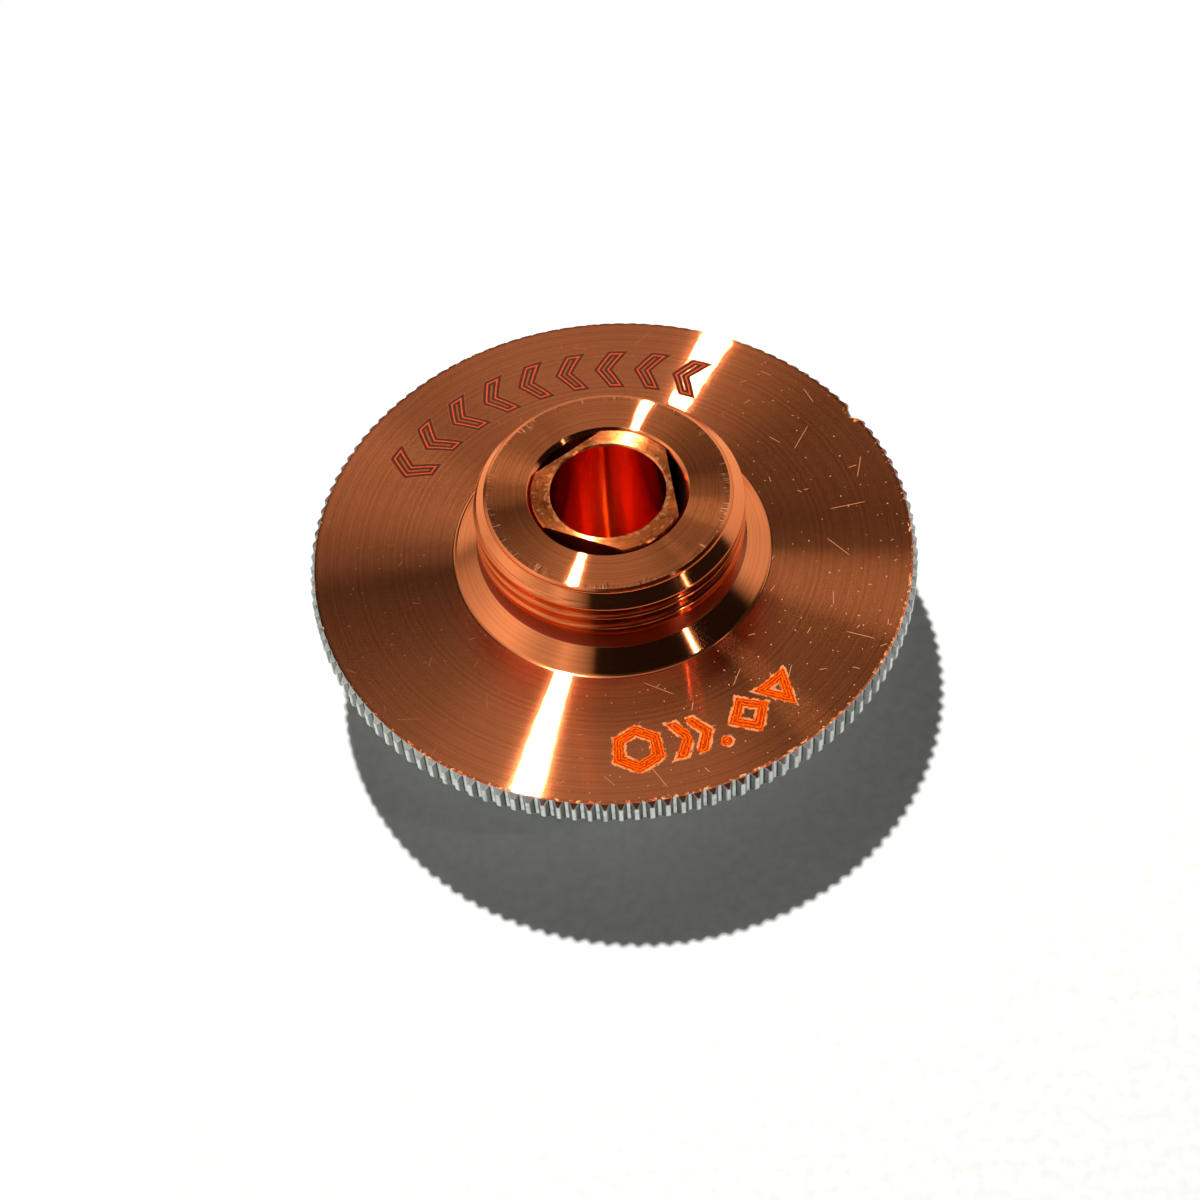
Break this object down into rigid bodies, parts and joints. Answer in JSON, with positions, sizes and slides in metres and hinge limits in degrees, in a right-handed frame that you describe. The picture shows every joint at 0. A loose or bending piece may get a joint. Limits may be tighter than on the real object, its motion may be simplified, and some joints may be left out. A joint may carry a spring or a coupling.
{
  "type": "laser cutting nozzle",
  "caption": "Turned copper double-layer laser cutting nozzle: threaded stub, knurled flange, conical nose, and a pressed inner core with flats.",
  "frame": {"origin": "centre of the flat nose tip, on the surface that the nozzle stands on", "axes": "+Z along the gas and beam axis, from the nose tip up to the threaded end; +X and +Y across the flange"},
  "size_m": [0.032, 0.032, 0.0135],
  "materials": {
    "body_copper": "bright turned copper with fine concentric tool marks",
    "core_copper": "bright turned copper with a polished bore"
  },
  "bodies": {
    "root": {"outer_body": "body_copper", "inner_core": "core_copper"}
  },
  "joints": []
}
